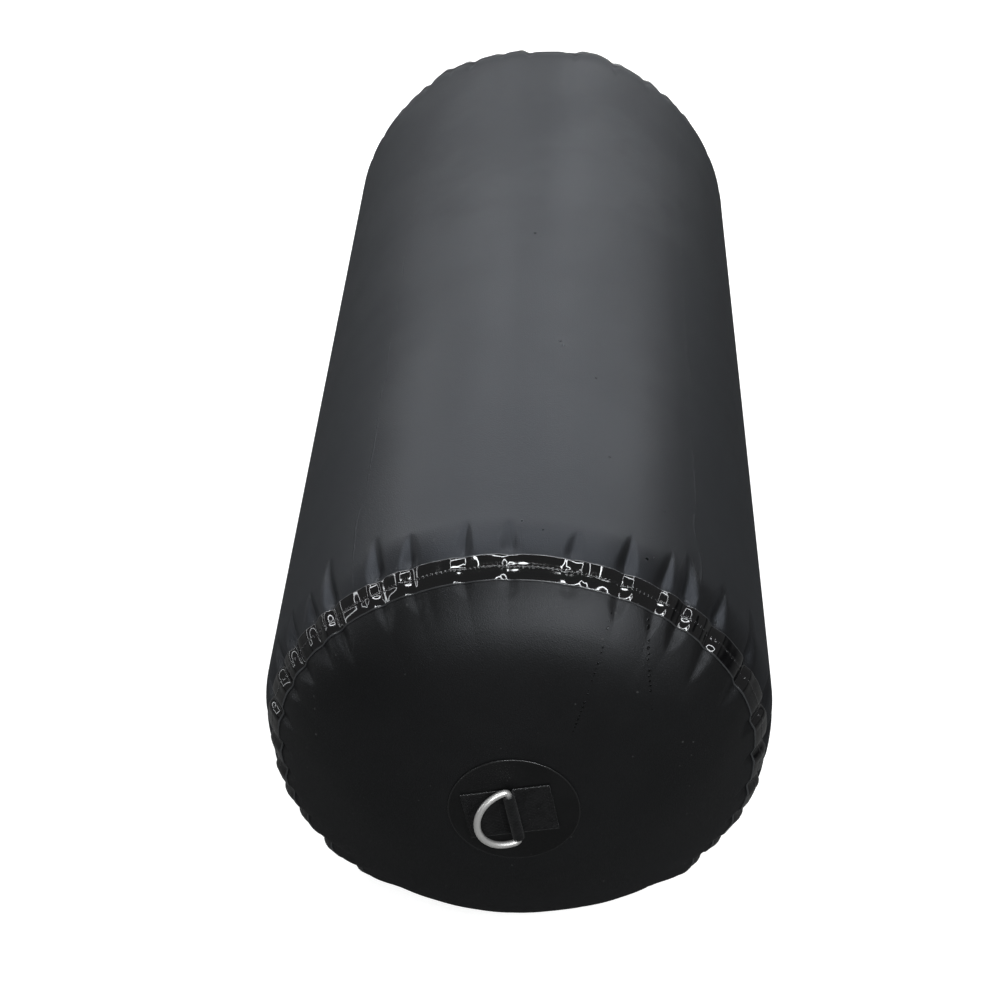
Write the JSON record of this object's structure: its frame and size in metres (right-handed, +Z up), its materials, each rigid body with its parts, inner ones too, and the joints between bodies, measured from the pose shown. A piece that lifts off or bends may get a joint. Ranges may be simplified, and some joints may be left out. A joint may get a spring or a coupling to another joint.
{
  "type": "boat fender",
  "caption": "Black inflatable cylinder boat fender with puckered taped end seams, a D-ring on a round webbing patch at each end and a push-button air valve.",
  "frame": {"origin": "on the ground under the middle of the fender, which lies on its side", "axes": "+Z up; +Y along the fender's length, from the near end towards the end with the valve; +X to the right, looking along +Y"},
  "size_m": [0.456, 1.1407, 0.4524],
  "materials": {
    "coated_fabric": "satin",
    "tape_film": "gloss",
    "patch_fabric": "satin",
    "webbing": "matte",
    "ring_steel": "satin",
    "valve_plastic": "satin",
    "button_plastic": "satin",
    "seal_rubber": "matte",
    "spring_steel": "satin"
  },
  "bodies": {
    "chamber": {"sleeve": "coated_fabric", "near_end_panel": "coated_fabric", "far_end_panel": "coated_fabric", "near_seam_tape": "tape_film", "far_seam_tape": "tape_film", "near_ring_patch": "patch_fabric", "near_ring_strap": "webbing", "far_ring_patch": "patch_fabric", "far_ring_strap": "webbing", "valve_body": "valve_plastic", "valve_nut": "valve_plastic", "valve_spring": "spring_steel"},
    "near_d_ring": {"near_ring": "ring_steel"},
    "far_d_ring": {"far_ring": "ring_steel"},
    "plunger": {"valve_plunger": "button_plastic", "valve_seal": "seal_rubber"},
    "cap": {"valve_cap": "valve_plastic", "cap_seal": "seal_rubber"}
  },
  "joints": [
    {"name": "near_ring_swing", "type": "hinge", "parent": "chamber", "child": "near_d_ring", "pos_m": [0, -0.55554, 0.23034], "axis": [-0.1908, 0.0941, 0.9771], "range_deg": [-14, 142]},
    {"name": "far_ring_swing", "type": "hinge", "parent": "chamber", "child": "far_d_ring", "pos_m": [0, 0.55606, 0.22946], "axis": [0.1908, 0, 0.9816], "range_deg": [-14, 142]},
    {"name": "valve_press", "type": "slide", "parent": "chamber", "child": "plunger", "axis": [0, -0.9777, -0.2098], "range_m": [0, 0.005], "stiffness_N_per_m": 400, "springref_m": -0.004, "deforming": ["valve_spring"]},
    {"name": "valve_cap_lift", "type": "slide", "parent": "chamber", "child": "cap", "axis": [0, 0.9777, 0.2098], "range_m": [0, 0.02]}
  ]
}
